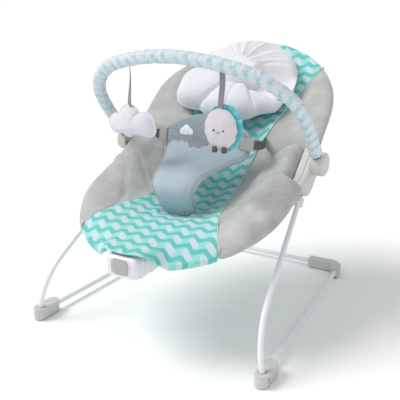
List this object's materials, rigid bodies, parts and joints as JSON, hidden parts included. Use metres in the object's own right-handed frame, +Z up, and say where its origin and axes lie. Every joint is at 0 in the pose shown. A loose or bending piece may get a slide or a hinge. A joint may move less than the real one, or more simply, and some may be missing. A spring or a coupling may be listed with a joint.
{
  "type": "bouncer seat",
  "caption": "Baby bouncer: sling seat on curved spring legs over a flat tube base, with head support, harness, push-button vibration unit and a swinging toy bar.",
  "frame": {"origin": "floor, at the middle of the bouncer's overall box seen from above", "axes": "+Z up, +X across the seat, -Y the foot end, +Y the head end"},
  "size_m": [0.49, 0.5722, 0.5136],
  "materials": {
    "painted_tube": "satin white powder coat",
    "grey_plastic": "fine satin",
    "foot_rubber": "matte",
    "screw_steel": "zinc plated",
    "white_plastic": "soft gloss",
    "mint_print": "printed woven cloth with a wave pattern",
    "grey_plush": "short-pile plush",
    "white_plush": "soft white plush",
    "blue_grey_cloth": "smooth woven cloth with piping",
    "dark_webbing": "woven ribbon and webbing",
    "board": "circuit board",
    "dark_plastic": "matte",
    "teal_cloth": "crinkle cloth"
  },
  "bodies": {
    "base": {"base_tube": "painted_tube", "foot_front_l": "grey_plastic", "foot_front_r": "grey_plastic", "foot_rear_l": "grey_plastic", "foot_rear_r": "grey_plastic", "pad_front_l": "foot_rubber", "pad_front_r": "foot_rubber", "pad_rear_l": "foot_rubber", "pad_rear_r": "foot_rubber", "foot_screws": "screw_steel", "rear_screws": "screw_steel"},
    "seat": {"leg_l": "painted_tube", "leg_r": "painted_tube", "hub_inner_l": "grey_plastic", "hub_inner_r": "grey_plastic", "hub_outer_l": "grey_plastic", "hub_outer_r": "grey_plastic", "hub_screws": "screw_steel", "leg_plug_l": "white_plastic", "leg_plug_r": "white_plastic", "seat_tube_front": "painted_tube", "seat_tube_back": "painted_tube", "seat_panel": "mint_print", "side_pad_l": "grey_plush", "side_pad_r": "grey_plush", "head_pad": "white_plush", "head_pillow": "white_plush", "crotch_pad": "blue_grey_cloth", "waist_strap_l": "dark_webbing", "waist_strap_r": "dark_webbing", "receiver_l": "grey_plastic", "receiver_r": "grey_plastic", "unit_housing": "white_plastic", "unit_back_cover": "white_plastic", "unit_board": "board", "unit_motor": "screw_steel", "unit_cell": "screw_steel", "unit_screws": "screw_steel"},
    "button": {"unit_button": "grey_plastic"},
    "vibration_weight": {"unit_weight": "screw_steel"},
    "tongue_left": {"tongue_l": "grey_plastic"},
    "tongue_right": {"tongue_r": "grey_plastic"},
    "bar_knobs": {"knob_l": "grey_plastic", "knob_r": "grey_plastic"},
    "toy_bar": {"bar_rod": "painted_tube", "bar_sleeve": "mint_print", "bar_ring_l": "dark_plastic", "bar_ring_r": "dark_plastic"},
    "cloud": {"cloud_strap": "dark_webbing", "cloud_toy": "white_plush"},
    "lamb": {"lamb_strap": "dark_webbing", "lamb_disc": "teal_cloth", "lamb_face": "white_plush", "lamb_feet": "dark_webbing"}
  },
  "joints": [
    {"name": "bounce", "type": "hinge", "parent": "base", "child": "seat", "pos_m": [0, -0.231, 0.013], "axis": [1, 0, 0], "range_deg": [-4, 3], "stiffness_Nm_per_rad": 70, "springref_deg": 4.26},
    {"name": "vibration_button", "type": "slide", "parent": "seat", "child": "button", "axis": [0, 1, 0], "range_m": [0, 0.0015], "stiffness_N_per_m": 600, "springref_m": -0.0005},
    {"name": "vibration_spin", "type": "hinge", "parent": "seat", "child": "vibration_weight", "pos_m": [0, -0.259, 0.178], "axis": [1, 0, 0], "continuous": true},
    {"name": "buckle_left", "type": "slide", "parent": "seat", "child": "tongue_left", "axis": [1, 0, 0], "range_m": [0, 0.014]},
    {"name": "buckle_right", "type": "slide", "parent": "seat", "child": "tongue_right", "axis": [-1, 0, 0], "range_m": [0, 0.014]},
    {"name": "toy_bar_pivot", "type": "hinge", "parent": "seat", "child": "bar_knobs", "pos_m": [0, 0.0495, 0.3037], "axis": [1, 0, 0], "range_deg": [-57, 12]},
    {"name": "toy_bar_pull", "type": "slide", "parent": "bar_knobs", "child": "toy_bar", "axis": [0, -0.6541, 0.7564], "range_m": [0, 0.03]},
    {"name": "cloud_swing", "type": "hinge", "parent": "toy_bar", "child": "cloud", "pos_m": [-0.092, -0.11266, 0.49123], "axis": [0.9604, -0.1823, 0.2109], "range_deg": [-30, 30]},
    {"name": "lamb_swing", "type": "hinge", "parent": "toy_bar", "child": "lamb", "pos_m": [0.092, -0.11266, 0.49123], "axis": [0.9604, 0.1823, -0.2109], "range_deg": [-30, 30]}
  ]
}
